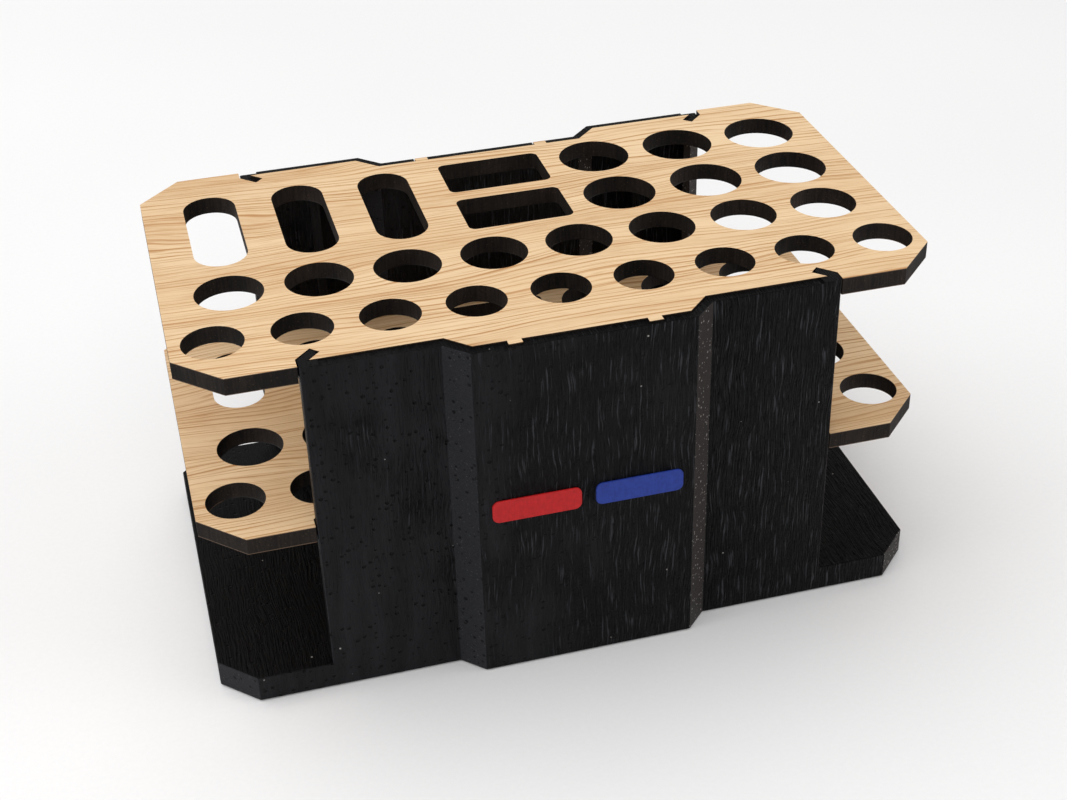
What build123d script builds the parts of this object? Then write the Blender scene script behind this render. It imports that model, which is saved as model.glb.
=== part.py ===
from build123d import *
import os

os.makedirs("parts", exist_ok=True)

# ---------------------------------------------------------------- driving dimensions (mm)
# Frame: +X to the right, +Y to the back, +Z up, origin under the middle of the whole caddy.

# Body moulding
base_width = 208.4
base_depth = 116.2
base_corner = 10.0
skirt_gap = 0.4
deck_top = 8.5
deck_thickness = 2.5
wall = 2.5
wall_half_length = 73.0
total_height = 106.5

# The middle of each wall is set forward of its wings by 45 degree creases
wall_step = 6.1
crease_wing_x = 36.6
crease_middle_x = crease_wing_x - wall_step

# Hooked rail at each wall end: the wall turns in, then turns back at 45 degrees
rail_return = 3.8
rail_reach = 7.75
rail_thickness = 2.4
wall_top_drop = 0.4
rail_block_length = 5.0
back_rail_drop = 1.0

# Boards
board_width = 207.6
board_depth = 115.4
board_corner = 12.0
board_thickness = 5.0
face_thickness = 0.2
board_spacing = 50.15
board_clearance = 0.4

# Tool holes of both boards; the pattern sits a little right of the middle
pattern_x = 0.45
small_hole = 16.5
small_count = 9
small_pitch = 23.2
small_y = -39.35
medium_hole = 18.9
medium_count = 8
medium_pitch = 24.45
medium_y = -14.85
large_hole = 21.2
large_count = 3
large_rows = 2
large_pitch_x = 26.8
large_pitch_y = 25.8
large_x = 59.1
large_y = 22.55
slot_width = 15.1
slot_length = 43.3
slot_count = 3
slot_pitch = 25.75
slot_x = -58.8
slot_y = 22.3
lower_slot_length = 31.2
lower_slot_y = 21.85
window_width = 31.0
window_depth = 19.1
window_radius = 2.2
window_rows = 2
window_pitch = 24.3
window_x = 0.5
window_y = 21.85

# Locating tabs of the upper board and the pockets they drop into
tab_x = 18.8
tab_width = 3.8
tab_reach = 1.9
tab_clearance = 0.25
front_pocket_depth = 1.9

# Ledges inside the walls: tall ones carry the upper board, short ones the lower board
ledge_width = 3.0
ledge_reach = 3.0
tall_ledge_x = 52.0
short_ledge_x = (22.0, 64.0)
ledge_notch_clearance = 0.5

# Underside
rib_width = 1.5
rib_depth = 1.5
foot_radius = 5.0
foot_height = 1.6
foot_x = 86.0
foot_y = 42.0
foot_seat = 0.7
foot_cup_wall = 1.6
foot_cup_clearance = 0.2

# Softened edges of the moulding
crease_radius = 0.6
corner_radius = 0.5
rail_radius = 0.4
rim_radius = 0.4
ridge_radius = 0.3

# Accent bars set into the front of the body
bar_length = 25.0
bar_height = 7.0
bar_radius = 2.0
bar_inset = 0.8
bar_proud = 0.5
bar_gap = 4.0
bar_x = 0.2
bar_z = 55.3
bar_edge = 0.25

# ---------------------------------------------------------------- worked-out places
plan_y = (wall_step + bar_proud) / 2
front_wing_y = plan_y - base_depth / 2
front_middle_y = front_wing_y - wall_step
back_wing_y = plan_y + base_depth / 2
back_middle_y = back_wing_y - wall_step
upper_bottom = total_height - board_thickness
lower_bottom = upper_bottom - board_spacing
deck_bottom = deck_top - deck_thickness
core_thickness = board_thickness - 2 * face_thickness


def caddy_outline(width, depth, corner):
    """Chamfered rectangle whose front middle steps out and whose back middle steps in."""
    half_x = width / 2
    front = plan_y - depth / 2
    back = plan_y + depth / 2
    right_side = [
        (crease_middle_x, front - wall_step),
        (crease_wing_x, front),
        (half_x - corner, front),
        (half_x, front + corner),
        (half_x, back - corner),
        (half_x - corner, back),
        (crease_wing_x, back),
        (crease_middle_x, back - wall_step),
    ]
    left_side = [(-x, y) for x, y in reversed(right_side)]
    with BuildLine() as outline:
        Polyline(*right_side, *left_side, close=True)
    return outline.line


def rail_outline(side, front):
    """Plan of one hooked rail: side is +1 right or -1 left, front is +1 front or -1 back."""
    wing_y = front_wing_y if front > 0 else back_wing_y
    arm = rail_thickness / 2**0.5
    tip_x = rail_reach - rail_return
    root = wall - (rail_return - 2 * arm)
    local = [
        (0, 0),
        (0, rail_return),
        (tip_x, rail_reach),
        (tip_x + arm, rail_reach - arm),
        (root, wall),
        (root, 0),
    ]
    points = [(side * (wall_half_length - x), wing_y + front * y) for x, y in local]
    with BuildLine() as outline:
        Polyline(*points, close=True)
    return outline.line


# ---------------------------------------------------------------- plan sketches shared by the pieces
with BuildSketch() as base_plan:
    make_face(caddy_outline(base_width, base_depth, base_corner).edges())

with BuildSketch() as hollow_plan:
    add(base_plan.sketch)
    offset(amount=-wall, kind=Kind.INTERSECTION, mode=Mode.REPLACE)

with BuildSketch() as wall_plan:
    add(base_plan.sketch)
    add(hollow_plan.sketch, mode=Mode.SUBTRACT)
    Rectangle(2 * wall_half_length, 2 * base_depth, mode=Mode.INTERSECT)
    for side in (1, -1):
        for front in (1, -1):
            make_face(rail_outline(side, front).edges())

with BuildSketch() as clearance_plan:
    add(wall_plan.sketch)
    offset(amount=board_clearance, kind=Kind.INTERSECTION, mode=Mode.REPLACE)

with BuildSketch() as board_plan:
    make_face(caddy_outline(board_width, board_depth, board_corner).edges())
    add(clearance_plan.sketch, mode=Mode.SUBTRACT)

with BuildSketch() as tab_plan:
    front_edge = front_middle_y + wall + board_clearance
    back_edge = back_middle_y - wall - board_clearance
    with Locations((pattern_x, front_edge)):
        with GridLocations(2 * tab_x, 1, 2, 1):
            Rectangle(tab_width, 2 * tab_reach)
    with Locations((pattern_x, back_edge)):
        with GridLocations(2 * tab_x, 1, 2, 1):
            Rectangle(tab_width, 2 * tab_reach)


def ledge_plan(x_places, grow=0.0):
    """Rectangles against both walls' inner faces at plus and minus each x, grown by grow."""
    with BuildSketch() as plan:
        for x in x_places:
            in_middle = x < crease_middle_x
            front_face = (front_middle_y if in_middle else front_wing_y) + wall
            back_face = (back_middle_y if in_middle else back_wing_y) - wall
            for face_y, inward in ((front_face, 1), (back_face, -1)):
                with Locations((0, face_y + inward * ledge_reach / 2)):
                    with GridLocations(2 * x, 1, 2, 1):
                        Rectangle(ledge_width + 2 * grow, ledge_reach + 2 * grow)
    return plan.sketch


# ---------------------------------------------------------------- boards
def hole_plan(slots_long, slots_y):
    """Every tool hole of one board; the slots' length and place differ between the boards."""
    with BuildSketch() as plan:
        with Locations((pattern_x, plan_y + small_y)):
            with GridLocations(small_pitch, 1, small_count, 1):
                Circle(small_hole / 2)
        with Locations((pattern_x, plan_y + medium_y)):
            with GridLocations(medium_pitch, 1, medium_count, 1):
                Circle(medium_hole / 2)
        with Locations((large_x, plan_y + large_y)):
            with GridLocations(large_pitch_x, large_pitch_y, large_count, large_rows):
                Circle(large_hole / 2)
        with Locations((slot_x, plan_y + slots_y)):
            with GridLocations(slot_pitch, 1, slot_count, 1):
                SlotOverall(slots_long, slot_width, rotation=90)
        with Locations((window_x, plan_y + window_y)):
            with GridLocations(1, window_pitch, 1, window_rows):
                RectangleRounded(window_width, window_depth, window_radius)
    return plan.sketch


def board_layer(bottom, thickness, holes, extra=None, relief=None):
    """One layer of a board: the plan with its tool holes, plus tabs or minus ledge notches."""
    with BuildPart() as layer:
        with BuildSketch(Plane.XY.offset(bottom)):
            add(board_plan.sketch)
            if extra:
                add(extra)
            if relief:
                add(relief, mode=Mode.SUBTRACT)
            add(holes, mode=Mode.SUBTRACT)
        extrude(amount=thickness)
    return layer


tall_notches = ledge_plan([tall_ledge_x], ledge_notch_clearance)
upper_holes = hole_plan(slot_length, slot_y)
lower_holes = hole_plan(lower_slot_length, lower_slot_y)
for board, bottom, holes, tabs, notches in (
    ("upper_board", upper_bottom, upper_holes, tab_plan.sketch, None),
    ("lower_board", lower_bottom, lower_holes, None, tall_notches),
):
    face_bottom = bottom + board_thickness - face_thickness
    backing = board_layer(bottom, face_thickness, holes, tabs, notches)
    core = board_layer(bottom + face_thickness, core_thickness, holes, tabs, notches)
    face = board_layer(face_bottom, face_thickness, holes, tabs, notches)
    for layer, name in ((backing, "backing"), (core, "core"), (face, "face")):
        layer.part.label = f"{board}_{name}"
        export_step(layer.part, f"parts/{board}_{name}.step")


# ---------------------------------------------------------------- body moulding
def upright_edges(part, places):
    """The part's vertical edges that stand at one of the plan places or at its mirror image to the left."""
    return [
        edge
        for edge in part.edges().filter_by(Axis.Z)
        for x, y in places
        if abs(abs(edge.center().X) - x) < 0.01 and abs(edge.center().Y - y) < 0.01
    ]


def outline_edges(part, height, beyond_x=0.0):
    """The part's edges at this height on the caddy's outer outline, further out than beyond_x."""
    outline = base_plan.sketch.face().outer_wire()
    level = part.edges().filter_by_position(Axis.Z, height - 0.001, height + 0.001)
    return [
        edge
        for edge in level
        if abs(edge.center().X) >= beyond_x
        and outline.distance_to(Vertex(edge.center().X, edge.center().Y, 0)) < 0.3
    ]


tall_ledges = ledge_plan([tall_ledge_x])
short_ledges = ledge_plan(short_ledge_x)

with BuildPart() as body_moulding:
    # Skirt and deck
    with BuildSketch(Plane.XY.offset(skirt_gap)):
        add(base_plan.sketch)
    extrude(amount=deck_top - skirt_gap)
    with BuildSketch(Plane.XY.offset(skirt_gap)):
        add(hollow_plan.sketch)
    extrude(amount=deck_bottom - skirt_gap, mode=Mode.SUBTRACT)
    # Walls and hooked rails, with the top edge dropped between the rails' end blocks
    with BuildSketch(Plane.XY.offset(deck_top)):
        add(wall_plan.sketch)
    extrude(amount=total_height - deck_top)
    with BuildSketch(Plane.XY.offset(total_height - wall_top_drop)):
        Rectangle(2 * (wall_half_length - rail_block_length), 2 * base_depth)
    extrude(amount=2 * wall_top_drop, mode=Mode.SUBTRACT)
    # The back rails stop a little lower than the front ones
    with BuildSketch(Plane.XY.offset(total_height - back_rail_drop)):
        with Locations((0, back_wing_y)):
            with GridLocations(2 * wall_half_length, 1, 2, 1):
                Rectangle(2 * rail_block_length, 2 * rail_reach + rail_block_length)
    extrude(amount=2 * back_rail_drop, mode=Mode.SUBTRACT)
    # Ledges that carry the boards
    with BuildSketch(Plane.XY.offset(deck_top)):
        add(tall_ledges)
    extrude(amount=upper_bottom - deck_top)
    with BuildSketch(Plane.XY.offset(deck_top)):
        add(short_ledges)
    extrude(amount=lower_bottom - deck_top)
    # Pockets in the walls' top edges for the upper board's tabs
    with BuildSketch(Plane.XY.offset(upper_bottom)):
        with Locations((pattern_x, front_middle_y + wall)):
            with GridLocations(2 * tab_x, 1, 2, 1):
                Rectangle(tab_width + 2 * tab_clearance, 2 * front_pocket_depth)
        with Locations((pattern_x, back_middle_y - wall / 2)):
            with GridLocations(2 * tab_x, 1, 2, 1):
                Rectangle(tab_width + 2 * tab_clearance, 2 * wall)
    extrude(amount=board_thickness, mode=Mode.SUBTRACT)
    # Rib grid under the deck
    with BuildSketch(Plane.XY.offset(deck_bottom)):
        with Locations((0, plan_y)):
            with GridLocations(base_width / 4, 1, 3, 1):
                Rectangle(rib_width, base_depth + 2 * wall_step)
            with GridLocations(1, base_depth / 3, 1, 2):
                Rectangle(base_width - wall, rib_width)
        add(hollow_plan.sketch, mode=Mode.INTERSECT)
    extrude(amount=-rib_depth)
    # Cups for the feet
    with BuildSketch(Plane.XY.offset(foot_height - foot_seat)):
        with Locations((0, plan_y)):
            with GridLocations(2 * foot_x, 2 * foot_y, 2, 2):
                Circle(foot_radius + foot_cup_clearance + foot_cup_wall)
    extrude(amount=deck_bottom - foot_height + foot_seat)
    with BuildSketch(Plane.XY.offset(foot_height - foot_seat)):
        with Locations((0, plan_y)):
            with GridLocations(2 * foot_x, 2 * foot_y, 2, 2):
                Circle(foot_radius + foot_cup_clearance)
    extrude(amount=foot_seat, mode=Mode.SUBTRACT)
    # Shallow pockets for the accent bars
    with BuildSketch(Plane.XZ.offset(-front_middle_y)):
        with Locations((bar_x, bar_z)):
            with GridLocations(bar_length + bar_gap, 1, 2, 1):
                RectangleRounded(bar_length, bar_height, bar_radius)
    extrude(amount=-bar_inset, mode=Mode.SUBTRACT)
    # Softened creases, corners, rail ends and rims
    creases = []
    corners = []
    rail_ends = []
    for wing_y, middle_y, inward in (
        (front_wing_y, front_middle_y, 1),
        (back_wing_y, back_middle_y, -1),
    ):
        creases += [(crease_wing_x, wing_y), (crease_middle_x, middle_y)]
        corners += [(base_width / 2 - base_corner, wing_y), (base_width / 2, wing_y + inward * base_corner)]
        rail_ends += [(wall_half_length, wing_y), (wall_half_length, wing_y + inward * rail_return)]
    fillet(upright_edges(body_moulding, creases), radius=crease_radius)
    fillet(upright_edges(body_moulding, corners), radius=corner_radius)
    fillet(upright_edges(body_moulding, rail_ends), radius=rail_radius)
    fillet(outline_edges(body_moulding, deck_top, wall_half_length + 1), radius=rim_radius)
    fillet(outline_edges(body_moulding, total_height - wall_top_drop), radius=ridge_radius)
    fillet(outline_edges(body_moulding, skirt_gap), radius=ridge_radius)
body_moulding.part.label = "body_moulding"
export_step(body_moulding.part, "parts/body_moulding.step")


# ---------------------------------------------------------------- accent bars
for name, side in (("accent_bar_red", -1), ("accent_bar_blue", 1)):
    with BuildPart() as bar:
        with BuildSketch(Plane.XZ.offset(-front_middle_y - bar_inset)):
            with Locations((bar_x + side * (bar_length + bar_gap) / 2, bar_z)):
                RectangleRounded(bar_length, bar_height, bar_radius)
        extrude(amount=bar_inset + bar_proud)
        fillet(bar.faces().sort_by(Axis.Y)[0].edges(), radius=bar_edge)
    bar.part.label = name
    export_step(bar.part, f"parts/{name}.step")


# ---------------------------------------------------------------- feet
for end, y_side in (("front", -1), ("rear", 1)):
    for hand, x_side in (("left", -1), ("right", 1)):
        with BuildPart() as foot:
            with Locations((x_side * foot_x, plan_y + y_side * foot_y, 0)):
                Cylinder(foot_radius, foot_height, align=(Align.CENTER, Align.CENTER, Align.MIN))
        foot.part.label = f"foot_{end}_{hand}"
        export_step(foot.part, f"parts/foot_{end}_{hand}.step")
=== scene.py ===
"""Tool storage caddy.

Gives its moulded body, two drilled boards, accent bars and feet their finishes, and sets up a studio.
"""

import math

import bmesh
import bpy
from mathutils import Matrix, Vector


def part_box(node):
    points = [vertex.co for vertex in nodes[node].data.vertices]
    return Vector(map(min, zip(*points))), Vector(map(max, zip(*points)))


bl_info = {
    "name": "Tool storage caddy",
    "version": (1, 0, 0),
    "blender": (4, 5, 0),
    "location": "3D View > Sidebar > Caddy",
    "description": "Gives the caddy's moulding, boards, bars and feet their finishes and sets up the studio",
    "category": "Object",
}

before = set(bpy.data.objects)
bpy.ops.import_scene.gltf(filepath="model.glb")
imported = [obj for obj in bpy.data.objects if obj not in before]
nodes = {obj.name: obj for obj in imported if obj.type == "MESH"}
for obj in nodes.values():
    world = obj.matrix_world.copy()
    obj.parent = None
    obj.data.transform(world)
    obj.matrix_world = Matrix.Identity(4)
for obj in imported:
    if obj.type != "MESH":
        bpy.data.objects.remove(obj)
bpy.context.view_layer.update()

MM_PER_METRE = 1000.0
# Half way from front to back of the boards
board_low, board_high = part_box("upper_board_core")
PLAN_MIDDLE_MM = MM_PER_METRE * (board_low[1] + board_high[1]) / 2

# A height between the two boards, and how far along the print the upper board's sheet was cut
BETWEEN_BOARDS_MM = 80.0
SHEET_SHIFT_MM = 37.0
# Outside these distances from the middle a cut edge is the board's outline, and not a hole
OUTLINE_X_MM = 95.0
OUTLINE_Y_MM = 51.0
# Relief of each finish, in metres
MOULD_RELIEF = 0.00070
PRINT_RELIEF = 0.00004
CORE_RELIEF = 0.00025
ACCENT_RELIEF = 0.00006
RUBBER_RELIEF = 0.0001
# Keeps a cell with no dot from dividing by zero
SMALLEST_DOT = 0.0001
SENSOR_WIDTH_MM = 36.0

# Where the colour sockets lie among a Mix node's sockets
MIX_FACTOR, MIX_FIRST, MIX_SECOND, MIX_RESULT = 0, 6, 7, 2


# ---------------------------------------------------------------- shader maths
class Wire:
    """One socket of a shader graph, used in plain sums such as 1 - mask * 0.4."""

    def __init__(self, graph, socket):
        self.graph = graph
        self.socket = socket

    def math(self, operation, *values):
        return self.graph.node("ShaderNodeMath", {"operation": operation}, dict(enumerate(values)))

    def __add__(self, other):
        return self.math("ADD", self, other)

    __radd__ = __add__

    def __sub__(self, other):
        return self.math("SUBTRACT", self, other)

    def __rsub__(self, other):
        return self.math("SUBTRACT", other, self)

    def __mul__(self, other):
        return self.math("MULTIPLY", self, other)

    __rmul__ = __mul__

    def __truediv__(self, other):
        return self.math("DIVIDE", self, other)

    def __rtruediv__(self, other):
        return self.math("DIVIDE", other, self)

    def __gt__(self, other):
        return self.math("GREATER_THAN", self, other)

    def __lt__(self, other):
        return self.math("LESS_THAN", self, other)

    def __abs__(self):
        return self.math("ABSOLUTE", self)

    def fraction(self):
        return self.math("FRACT", self)

    def floor(self):
        return self.math("FLOOR", self)

    def smaller(self, other):
        return self.math("MINIMUM", self, other)

    def larger(self, other):
        return self.math("MAXIMUM", self, other)

    def rise(self, low, high):
        """0 below low, 1 above high, and a smooth rise between; falls instead where low is the larger."""
        settings = {"interpolation_type": "SMOOTHSTEP", "clamp": True}
        sockets = {"Value": self, "From Min": low, "From Max": high}
        return self.graph.node("ShaderNodeMapRange", settings, sockets)


class Graph:
    """A material's node graph with one Principled surface."""

    def __init__(self, name):
        self.material = bpy.data.materials.new(name)
        self.material.use_nodes = True
        self.tree = self.material.node_tree
        self.tree.nodes.clear()

    def node(self, kind, settings=None, inputs=None, output=0):
        """Adds a node, makes its settings, fills its sockets with values or wires, and returns one output."""
        made = self.tree.nodes.new(kind)
        for name, value in (settings or {}).items():
            setattr(made, name, value)
        for name, value in (inputs or {}).items():
            if isinstance(value, Wire):
                self.tree.links.new(value.socket, made.inputs[name])
            elif made.inputs[name].type == "RGBA":
                made.inputs[name].default_value = (*value[:3], 1.0)
            else:
                made.inputs[name].default_value = value
        return Wire(self, made.outputs[output]) if len(made.outputs) else None

    def split(self, vector):
        """The three parts of a vector as wires."""
        parts = self.node("ShaderNodeSeparateXYZ", None, {0: vector})
        return [Wire(self, socket) for socket in parts.socket.node.outputs]

    def place(self):
        """Position on the piece in millimetres, as x, y and z wires."""
        spot = self.node("ShaderNodeTexCoord", None, None, "Object")
        scaled = self.node("ShaderNodeVectorMath", {"operation": "SCALE"}, {0: spot, "Scale": MM_PER_METRE})
        return self.split(scaled)

    def facing(self):
        """How squarely the surface faces along X, Y and Z, each from 0 to 1."""
        normal = self.node("ShaderNodeNewGeometry", None, None, "True Normal")
        return [abs(part) for part in self.split(normal)]

    def vector(self, x, y, z):
        return self.node("ShaderNodeCombineXYZ", None, {0: x, 1: y, 2: z})

    def noise(self, vector, scale, detail, roughness=0.5):
        sockets = {"Vector": vector, "Scale": scale, "Detail": detail, "Roughness": roughness}
        return self.node("ShaderNodeTexNoise", {"noise_dimensions": "3D"}, sockets, "Fac")

    def drawn(self, x, y, z, detail, roughness=0.5):
        """Noise over a place that is already scaled, so that it can be drawn out along one way."""
        return self.noise(self.vector(x, y, z), 1.0, detail, roughness)

    def dots(self, vector, scale, size):
        """1 inside small scattered dots, whose radius is at most size of a cell, and 0 between them."""
        sockets = {"Vector": vector, "Scale": scale}
        cells = self.node("ShaderNodeTexVoronoi", {"feature": "F1"}, sockets, "Distance")
        chance = self.split(Wire(self, cells.socket.node.outputs["Color"]))[0]
        return (cells / (chance * size + SMALLEST_DOT)).rise(1.0, 0.55)

    def blend(self, factor, first, second):
        """First colour where factor is 0, second where it is 1."""
        sockets = {MIX_FACTOR: factor, MIX_FIRST: first, MIX_SECOND: second}
        return self.node("ShaderNodeMix", {"data_type": "RGBA"}, sockets, MIX_RESULT)

    def bump(self, height, depth):
        """A normal for a relief of this height, whose full height is depth in metres."""
        return self.node("ShaderNodeBump", None, {"Height": height, "Distance": depth, "Strength": 1.0})

    def surface(self, **sockets):
        """The Principled surface, with spaces in the socket names written as underscores."""
        named = {name.replace("_", " "): value for name, value in sockets.items()}
        shader = self.node("ShaderNodeBsdfPrincipled", None, named)
        self.node("ShaderNodeOutputMaterial", None, {"Surface": shader})
        return self.material


# ---------------------------------------------------------------- finishes
def moulded_black(finish):
    """Satin black plastic: grain or pits on the flat faces, sand on the slanted ones, some dust, painted
    shade on the level faces, and painted light and glints on the right-hand creases.
    """
    graph = Graph("moulded_black")
    x, y, z = graph.place()
    face_x, face_y, face_z = graph.facing()
    spot = graph.vector(x, y, z)
    level = face_z.rise(0.6, 0.8)
    slanted = face_x.smaller(face_y).rise(0.3, 0.5)
    broadside = (face_y - face_x).rise(-0.2, -0.1)
    across = x * broadside + y * (1 - broadside)
    across = across * (1 - level) + x * level
    along = z * (1 - level) + y * level
    sway = graph.drawn(across * 0.05, along * 0.035, level * 9, 2.0) * 5.0
    thread = across + sway
    # The grain runs along the pull of the mould: threads, pale streaks, broad figure and short open pores
    threads = graph.drawn(thread * 1.8, along * 0.09, level * 31, 3.0, 0.6)
    streaks = graph.drawn(thread * 1.7, along * 0.08, level * 23 + 8, 2.0, 0.6).rise(0.55, 0.68)
    figure = graph.drawn(thread * 0.22, along * 0.018, level * 17 + 5, 2.0)
    pores = graph.drawn(thread * 1.9, along * 0.20, 11.0, 2.0).rise(0.56, 0.70)
    # Some areas came out grained and others smooth but pitted, the left-hand end of the walls most of all
    patch = graph.drawn(thread * 0.035, along * 0.02, level * 7 + 3.0, 2.0)
    grained = (patch + x * 0.004).rise(0.32, 0.56)
    sand = graph.noise(spot, 2.6, 3.0, 0.7)
    glints = graph.dots(spot, 0.95, 0.36)
    pits = graph.dots(graph.vector(x, y + 40.0, z), 0.52, 0.36) * (1 - grained * 0.75)
    dust = graph.dots(graph.vector(x + 70.0, y, z), 0.15, 0.06)
    flat = 1 - slanted
    # Painted light: the sandy faces of the right-hand creases are painted paler and browner than the
    # left-hand ones, with brighter painted glints
    lit_right_creases = slanted * x.rise(-30.0, 30.0)
    ridges = threads.rise(0.38, 0.66)
    height = (ridges * 0.9 + streaks * 0.4 - pores * 0.8) * (grained * 0.8 + 0.2) + figure * 0.3
    height = height * flat + (sand * 1.1 + glints * 0.5) * slanted - pits * 0.8
    shade = (ridges * 0.14 + streaks * 0.75 - pores * 0.25) * grained + (figure - 0.5) * 0.3
    # Painted shade: the level faces, the deck under the boards among them, are painted darker by level * 0.35
    shade = shade + (1 - grained) * 0.22 - level * 0.35
    tone = (shade * flat + (sand - 0.35) * slanted - pits * 0.6).rise(0.0, 0.95)
    colour = graph.blend(tone, finish.black_deep, finish.black_worn)
    colour = graph.blend(slanted * (sand * 0.6 + 0.25) * (1 - pits * 0.8), colour, finish.black_worn)
    # Painted light: the right-hand crease faces are blended toward the paler crease colour
    colour = graph.blend(lit_right_creases * 0.9, colour, finish.black_crease_lit)
    # The dust colour gives real dust specks on the flat faces and painted glints on the crease faces, most on
    # the right-hand ones
    painted_glints = (glints * lit_right_creases).larger(glints * slanted * 0.08)
    colour = graph.blend(painted_glints.larger(dust * flat * 0.8), colour, finish.dust)
    roughness = 0.34 + ridges * 0.12 * flat + pores * 0.15 * flat
    roughness = roughness + slanted * (0.12 + sand * 0.15) + dust * 0.3
    normal = graph.bump(height, MOULD_RELIEF)
    return graph.surface(Base_Color=colour, Roughness=roughness, Normal=normal, Specular_IOR_Level=0.11)


def printed_oak(finish):
    """Light oak print running along X, satin, with thin brown growth lines and scorched cut edges."""
    graph = Graph("printed_oak")
    x, y, z = graph.place()
    face_z = graph.facing()[2]
    sheet = (z > BETWEEN_BOARDS_MM) * SHEET_SHIFT_MM
    sway = graph.drawn(x * 0.015, y * 0.03, sheet, 2.0) * 8.0
    slow = graph.drawn(x * 0.006, y * 0.02, sheet + 5.0, 1.0) * 34.0
    ring = y + sway + slow + x * 0.014
    # Growth lines: each climbs slowly to its brown side and drops sharply, and fades out here and there
    spread = graph.drawn(x * 0.004, ring * 0.09, sheet + 2.0, 2.0) * 5.0
    wander = graph.drawn(x * 0.035, ring * 0.5, sheet + 3.0, 2.0) * 0.35
    years = ring * 0.52 + spread + wander
    year = years.floor()
    season = years.fraction()
    vigour = graph.drawn(x * 0.012, year * 3.7, sheet + 12.0, 2.0).rise(0.40, 0.64)
    late_wood = season.rise(0.45, 0.90) * season.rise(1.0, 0.93)
    line = season.rise(0.74, 0.92) * season.rise(1.0, 0.95)
    halves = years * 2.3 + 0.4
    half = halves.fraction()
    faint_vigour = graph.drawn(x * 0.02, halves.floor() * 2.3, sheet + 21.0, 2.0).rise(0.45, 0.62)
    faint_line = half.rise(0.60, 0.88) * half.rise(1.0, 0.94) * faint_vigour
    bands = graph.drawn(x * 0.006, ring * 0.07, sheet + 7.0, 2.0)
    fibres = graph.drawn(x * 0.07, ring * 2.4, sheet, 3.0, 0.65)
    dashes = graph.drawn(x * 0.12, ring * 3.4, sheet + 4.0, 1.0).rise(0.58, 0.70)
    tone = late_wood * vigour * 0.38 + line * (vigour * 1.05 + 0.10) + faint_line * 0.60
    tone = tone + (bands - 0.5) * 0.9 + (fibres - 0.5) * 0.85 + dashes * 0.25
    colour = graph.blend(tone.rise(-0.26, 0.78), finish.oak_light, finish.oak_dark)
    blush = graph.drawn(x * 0.02, y * 0.04, sheet + 30.0, 2.0).rise(0.3, 0.7)
    colour = graph.blend(blush * 0.3, colour, finish.oak_blush)
    past_side = (abs(x) - OUTLINE_X_MM).rise(0.0, 1.0)
    past_front = (abs(y - PLAN_MIDDLE_MM) - OUTLINE_Y_MM).rise(0.0, 1.0)
    outer = past_side.larger(past_front)
    cut = face_z.rise(0.6, 0.4)
    edge = graph.blend(outer, finish.core_dark, finish.scorch)
    colour = graph.blend(cut, colour, edge)
    height = fibres * 0.4 - line * 0.5 - faint_line * 0.3 - dashes * 0.4
    roughness = 0.42 + fibres * 0.12 + dashes * 0.1
    normal = graph.bump(height, PRINT_RELIEF)
    return graph.surface(Base_Color=colour, Roughness=roughness, Normal=normal, Specular_IOR_Level=0.3)


def burnt_core(finish):
    """Fibreboard cut by laser: brown-black walls with upright burn lines, paler in patches."""
    graph = Graph("burnt_core")
    x, y, z = graph.place()
    striae = graph.drawn(x * 1.6, y * 1.6, z * 0.10, 3.0, 0.65)
    patches = graph.noise(graph.vector(x, y, z * 0.5), 0.07, 3.0)
    fibre = graph.noise(graph.vector(x, y, z), 1.7, 3.0, 0.7)
    flecks = graph.dots(graph.vector(x, y, z), 1.3, 0.30)
    tone = (striae - 0.5) * 1.0 + (patches - 0.5) * 1.2 + (fibre - 0.5) * 0.7 + 0.35
    colour = graph.blend(tone.rise(0.0, 1.0), finish.core_dark, finish.core_brown)
    colour = graph.blend(flecks * 0.35, colour, finish.scorch)
    normal = graph.bump(striae * 0.8 + fibre * 0.8, CORE_RELIEF)
    roughness = 0.62 + fibre * 0.3
    return graph.surface(Base_Color=colour, Roughness=roughness, Normal=normal, Specular_IOR_Level=0.2)


def accent_plastic(name, colour, shade):
    """Coloured low-gloss plastic with a slightly uneven skin."""
    graph = Graph(name)
    x, y, z = graph.place()
    skin = graph.noise(graph.vector(x, y, z), 0.9, 3.0)
    grain = graph.drawn(x * 3.0, y, z * 0.3, 2.0)
    mixed = graph.blend((skin * 0.6 + grain * 0.4).rise(0.3, 0.7), colour, shade)
    normal = graph.bump(skin * 0.5 + grain * 0.3, ACCENT_RELIEF)
    roughness = 0.42 + grain * 0.14
    return graph.surface(Base_Color=mixed, Roughness=roughness, Normal=normal, Specular_IOR_Level=0.25)


def foot_rubber(finish):
    """Matt black rubber with a fine tooth."""
    graph = Graph("foot_rubber")
    x, y, z = graph.place()
    tooth = graph.noise(graph.vector(x, y, z), 3.0, 3.0)
    colour = graph.blend(tooth.rise(0.3, 0.7), finish.rubber, finish.rubber_worn)
    normal = graph.bump(tooth, RUBBER_RELIEF)
    return graph.surface(Base_Color=colour, Roughness=0.78 + tooth * 0.15, Normal=normal)


def studio_paper(stage):
    """Pale seamless paper with a faint tooth."""
    graph = Graph("studio_paper")
    x, y, z = graph.place()
    tooth = graph.noise(graph.vector(x, y, z), 0.7, 2.0)
    drift = graph.noise(graph.vector(x, y, z), 0.004, 1.0)
    colour = graph.blend((tooth * 0.4 + drift * 0.6).rise(0.2, 0.8), stage.paper, stage.paper_shade)
    return graph.surface(Base_Color=colour, Roughness=0.85, Specular_IOR_Level=0.2)


def dress(piece, material):
    """Gives a piece one material and nothing else."""
    piece.data.materials.clear()
    piece.data.materials.append(material)


# ---------------------------------------------------------------- settings
def colour_setting(name, description, default):
    return bpy.props.FloatVectorProperty(
        name=name, description=description, subtype="COLOR", size=3, min=0.0, max=1.0, default=default
    )


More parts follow.
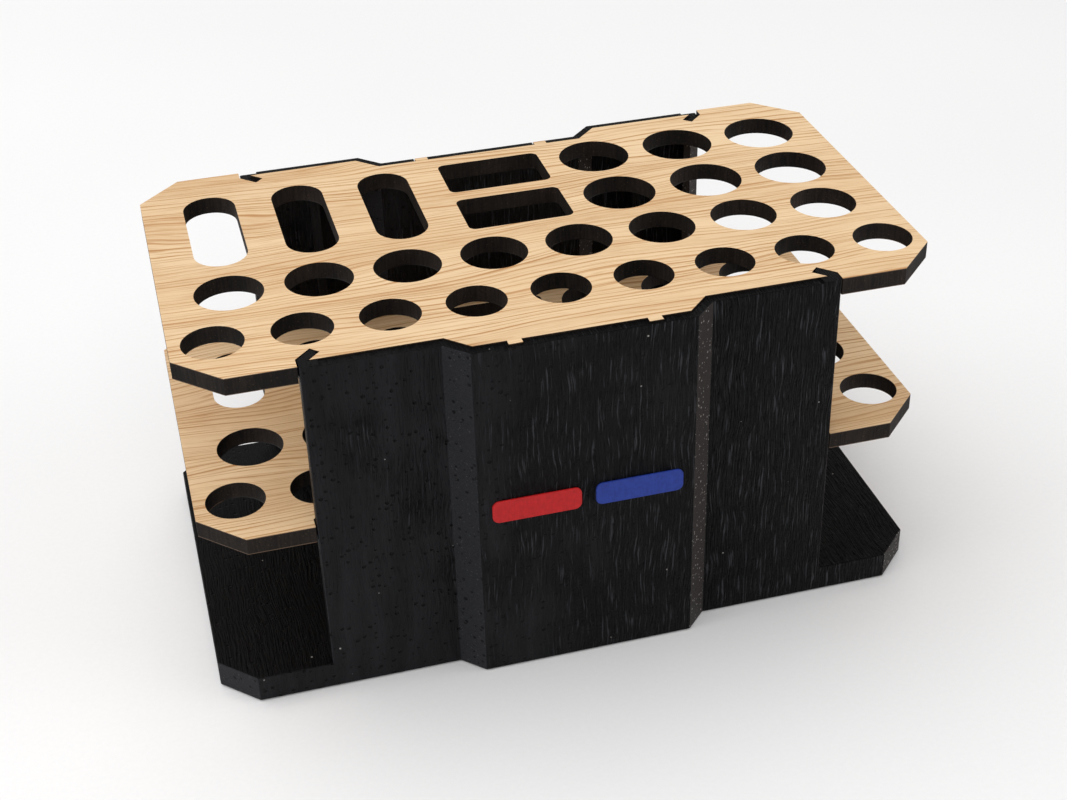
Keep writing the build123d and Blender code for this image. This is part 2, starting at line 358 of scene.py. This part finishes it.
class CADDY_PG_finish(bpy.types.PropertyGroup):
    """Colours of the caddy's own surfaces."""

    black_deep: colour_setting("Black", "Moulding, deepest tone", (0.0006, 0.0006, 0.0009))
    black_worn: colour_setting("Black, raised grain", "Moulding, raised grain", (0.0450, 0.0460, 0.0530))
    # Painted light: this paler crease colour is painted on the right-hand crease faces only
    black_crease_lit: colour_setting("Crease", "Moulding, slanted faces", (0.0460, 0.0390, 0.0360))
    # Also the colour of the painted glints on the crease faces
    dust: colour_setting("Dust", "Specks on the moulding", (0.52, 0.49, 0.46))
    oak_light: colour_setting("Oak, light", "Board face between the grain lines", (0.79, 0.585, 0.358))
    oak_dark: colour_setting("Oak, dark", "Board face on the grain lines", (0.44, 0.215, 0.074))
    oak_blush: colour_setting("Oak, blush", "Board face in its warmer patches", (0.72, 0.485, 0.265))
    scorch: colour_setting("Scorch", "Cut edge of the board face", (0.11, 0.065, 0.038))
    core_dark: colour_setting("Core, burnt", "Laser-cut wall of the boards", (0.0035, 0.0026, 0.0022))
    core_brown: colour_setting("Core, brown", "Paler burn lines", (0.030, 0.020, 0.015))
    red: colour_setting("Red", "Left accent bar", (0.50, 0.010, 0.012))
    red_shade: colour_setting("Red, shade", "Left accent bar, darker patches", (0.38, 0.008, 0.009))
    blue: colour_setting("Blue", "Right accent bar", (0.016, 0.042, 0.28))
    blue_shade: colour_setting("Blue, shade", "Right accent bar, darker patches", (0.012, 0.030, 0.21))
    rubber: colour_setting("Rubber", "Feet", (0.018, 0.018, 0.018))
    rubber_worn: colour_setting("Rubber, worn", "Feet, raised tooth", (0.045, 0.045, 0.045))


class CADDY_PG_stage(bpy.types.PropertyGroup):
    """Floor, lights and camera."""

    paper: colour_setting("Paper", "Floor colour", (0.86, 0.855, 0.855))
    paper_shade: colour_setting("Paper, shade", "Floor colour in its darker drifts", (0.82, 0.815, 0.815))
    floor_size: bpy.props.FloatProperty(
        name="Floor size", description="Side of the square floor", default=12.0, unit="LENGTH"
    )
    sky: bpy.props.FloatProperty(name="Sky", description="Even light from all round", default=0.38, min=0.0)
    top_power: bpy.props.FloatProperty(
        name="Top light", description="Overhead softbox", default=40.0, min=0.0, unit="POWER"
    )
    left_power: bpy.props.FloatProperty(
        name="Left light", description="Softbox on the left", default=2.5, min=0.0, unit="POWER"
    )
    right_power: bpy.props.FloatProperty(
        name="Right light", description="Softbox on the right", default=4.5, min=0.0, unit="POWER"
    )
    front_power: bpy.props.FloatProperty(
        name="Front light", description="Softbox in front, above the camera",
        default=9.5, min=0.0, unit="POWER",
    )
    camera_place: bpy.props.FloatVectorProperty(
        name="Camera", description="Where the camera stands", subtype="TRANSLATION", unit="LENGTH",
        default=(-0.10838, -0.42757, 0.33714),
    )
    camera_turn: bpy.props.FloatVectorProperty(
        name="Camera turn", description="Camera rotation", subtype="EULER", unit="ROTATION",
        default=(math.radians(56.7524), math.radians(1.4355), math.radians(-15.3057)),
    )
    lens: bpy.props.FloatProperty(
        name="Lens", description="Focal length in millimetres on a 36 mm wide sensor", default=59.006
    )


# ---------------------------------------------------------------- operators
class CADDY_OT_moulding(bpy.types.Operator):
    """Finish the one-piece black moulding"""

    bl_idname = "caddy.moulding"
    bl_label = "Moulding"

    def execute(self, context):
        dress(nodes["body_moulding"], moulded_black(context.scene.caddy_finish))
        return {"FINISHED"}


class CADDY_OT_board_faces(bpy.types.Operator):
    """Finish the printed oak faces and backings of both boards"""

    bl_idname = "caddy.board_faces"
    bl_label = "Board faces"

    def execute(self, context):
        oak = printed_oak(context.scene.caddy_finish)
        for board in ("upper_board", "lower_board"):
            for side in ("face", "backing"):
                dress(nodes[f"{board}_{side}"], oak)
        return {"FINISHED"}


class CADDY_OT_board_cores(bpy.types.Operator):
    """Finish the laser-cut cores of both boards"""

    bl_idname = "caddy.board_cores"
    bl_label = "Board cores"

    def execute(self, context):
        burnt = burnt_core(context.scene.caddy_finish)
        for board in ("upper_board", "lower_board"):
            dress(nodes[f"{board}_core"], burnt)
        return {"FINISHED"}


class CADDY_OT_accent_bars(bpy.types.Operator):
    """Finish the raised red and blue bars on the front"""

    bl_idname = "caddy.accent_bars"
    bl_label = "Accent bars"

    def execute(self, context):
        finish = context.scene.caddy_finish
        dress(nodes["accent_bar_red"], accent_plastic("accent_red", finish.red, finish.red_shade))
        dress(nodes["accent_bar_blue"], accent_plastic("accent_blue", finish.blue, finish.blue_shade))
        return {"FINISHED"}


class CADDY_OT_feet(bpy.types.Operator):
    """Finish the four rubber feet"""

    bl_idname = "caddy.feet"
    bl_label = "Feet"

    def execute(self, context):
        rubber = foot_rubber(context.scene.caddy_finish)
        for end in ("front", "rear"):
            for hand in ("left", "right"):
                dress(nodes[f"foot_{end}_{hand}"], rubber)
        return {"FINISHED"}


def softbox(name, place, target, width, height, power):
    """A soft rectangular light at place that faces target."""
    light = bpy.data.lights.new(name, "AREA")
    light.shape = "RECTANGLE"
    light.size = width
    light.size_y = height
    light.energy = power
    lamp = bpy.data.objects.new(name, light)
    lamp.location = place
    lamp.rotation_euler = (Vector(target) - Vector(place)).to_track_quat("-Z", "Y").to_euler()
    bpy.context.scene.collection.objects.link(lamp)
    return lamp


class CADDY_OT_stage(bpy.types.Operator):
    """Lay the pale floor and set up the lights and the camera"""

    bl_idname = "caddy.stage"
    bl_label = "Stage"

    def execute(self, context):
        scene = context.scene
        stage = scene.caddy_stage
        mesh = bpy.data.meshes.new("studio_floor")
        grid = bmesh.new()
        bmesh.ops.create_grid(grid, x_segments=8, y_segments=8, size=stage.floor_size / 2)
        grid.to_mesh(mesh)
        grid.free()
        floor = bpy.data.objects.new("studio_floor", mesh)
        scene.collection.objects.link(floor)
        dress(floor, studio_paper(stage))

        world = bpy.data.worlds.new("studio")
        world.use_nodes = True
        world.node_tree.nodes["Background"].inputs["Color"].default_value = (1.0, 1.0, 1.0, 1.0)
        world.node_tree.nodes["Background"].inputs["Strength"].default_value = stage.sky
        scene.world = world
        scene.view_settings.view_transform = "Standard"

        middle = (0.0, 0.0, 0.05)
        softboxes = (
            ("top_softbox", (-0.7, 0.45, 2.05), (-0.2, 0.2, 0.0), 2.6, 2.4, stage.top_power),
            ("left_softbox", (-1.5, 0.0, 1.0), middle, 1.0, 0.8, stage.left_power),
            ("right_softbox", (1.4, -0.5, 0.8), middle, 0.9, 0.6, stage.right_power),
            ("front_softbox", (-0.35, -1.5, 1.3), (0.0, -0.2, 0.0), 1.2, 0.8, stage.front_power),
        )
        for name, place, target, width, height, power in softboxes:
            softbox(name, place, target, width, height, power)

        lens = bpy.data.cameras.new("camera")
        lens.lens = stage.lens
        lens.sensor_width = SENSOR_WIDTH_MM
        camera = bpy.data.objects.new("camera", lens)
        camera.location = stage.camera_place
        camera.rotation_euler = stage.camera_turn
        scene.collection.objects.link(camera)
        scene.camera = camera
        return {"FINISHED"}


class CADDY_PT_panel(bpy.types.Panel):
    """Lists the caddy's steps and settings in the 3D view's sidebar"""

    bl_idname = "CADDY_PT_panel"
    bl_label = "Tool storage caddy"
    bl_space_type = "VIEW_3D"
    bl_region_type = "UI"
    bl_category = "Caddy"

    def draw(self, context):
        for step in STEPS:
            self.layout.operator(step.bl_idname)
        for settings in (context.scene.caddy_finish, context.scene.caddy_stage):
            box = self.layout.box()
            for name in settings.bl_rna.properties.keys():
                if name not in ("rna_type", "name"):
                    box.prop(settings, name)


STEPS = (
    CADDY_OT_moulding,
    CADDY_OT_board_faces,
    CADDY_OT_board_cores,
    CADDY_OT_accent_bars,
    CADDY_OT_feet,
    CADDY_OT_stage,
)
CLASSES = (CADDY_PG_finish, CADDY_PG_stage, *STEPS, CADDY_PT_panel)


def register():
    for cls in CLASSES:
        bpy.utils.register_class(cls)
    bpy.types.Scene.caddy_finish = bpy.props.PointerProperty(type=CADDY_PG_finish)
    bpy.types.Scene.caddy_stage = bpy.props.PointerProperty(type=CADDY_PG_stage)


def unregister():
    del bpy.types.Scene.caddy_stage
    del bpy.types.Scene.caddy_finish
    for cls in reversed(CLASSES):
        bpy.utils.unregister_class(cls)


def main():
    register()
    bpy.ops.caddy.moulding()
    bpy.ops.caddy.board_faces()
    bpy.ops.caddy.board_cores()
    bpy.ops.caddy.accent_bars()
    bpy.ops.caddy.feet()
    bpy.ops.caddy.stage()


if __name__ == "__main__":
    main()
